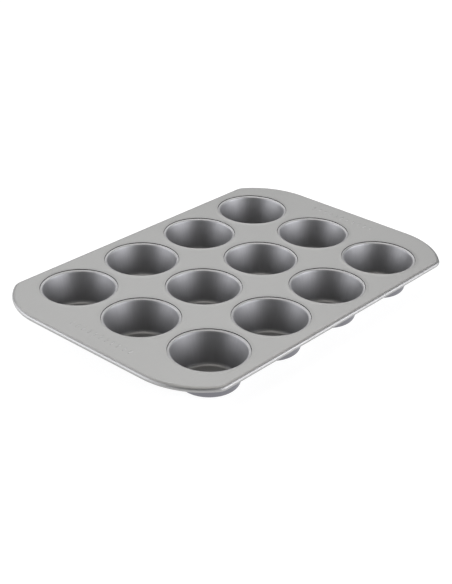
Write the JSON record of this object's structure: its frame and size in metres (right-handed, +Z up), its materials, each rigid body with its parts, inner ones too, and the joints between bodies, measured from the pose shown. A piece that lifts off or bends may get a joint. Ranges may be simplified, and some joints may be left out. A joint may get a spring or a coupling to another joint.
{
  "type": "muffin tin",
  "caption": "Rectangular baking tin with rounded corners, a rolled wire rim and a grid of round tapered cups hanging in its deck.",
  "frame": {"origin": "middle of the plane that the feet of the cups stand on, centred on the overall box", "axes": "+X along the long side, +Y along the short side towards the back, +Z up out of the cups"},
  "size_m": [0.3966, 0.2716, 0.0334],
  "materials": {
    "deck_coating": "satin grey nonstick coating on steel sheet",
    "cup_coating": "satin grey nonstick coating on steel sheet",
    "wire": "plain drawn steel wire"
  },
  "bodies": {
    "root": {"deck_plate": "deck_coating", "rim_wire": "wire", "cup_a1": "cup_coating", "cup_a2": "cup_coating", "cup_a3": "cup_coating", "cup_a4": "cup_coating", "cup_b1": "cup_coating", "cup_b2": "cup_coating", "cup_b3": "cup_coating", "cup_b4": "cup_coating", "cup_c1": "cup_coating", "cup_c2": "cup_coating", "cup_c3": "cup_coating", "cup_c4": "cup_coating"}
  },
  "joints": []
}
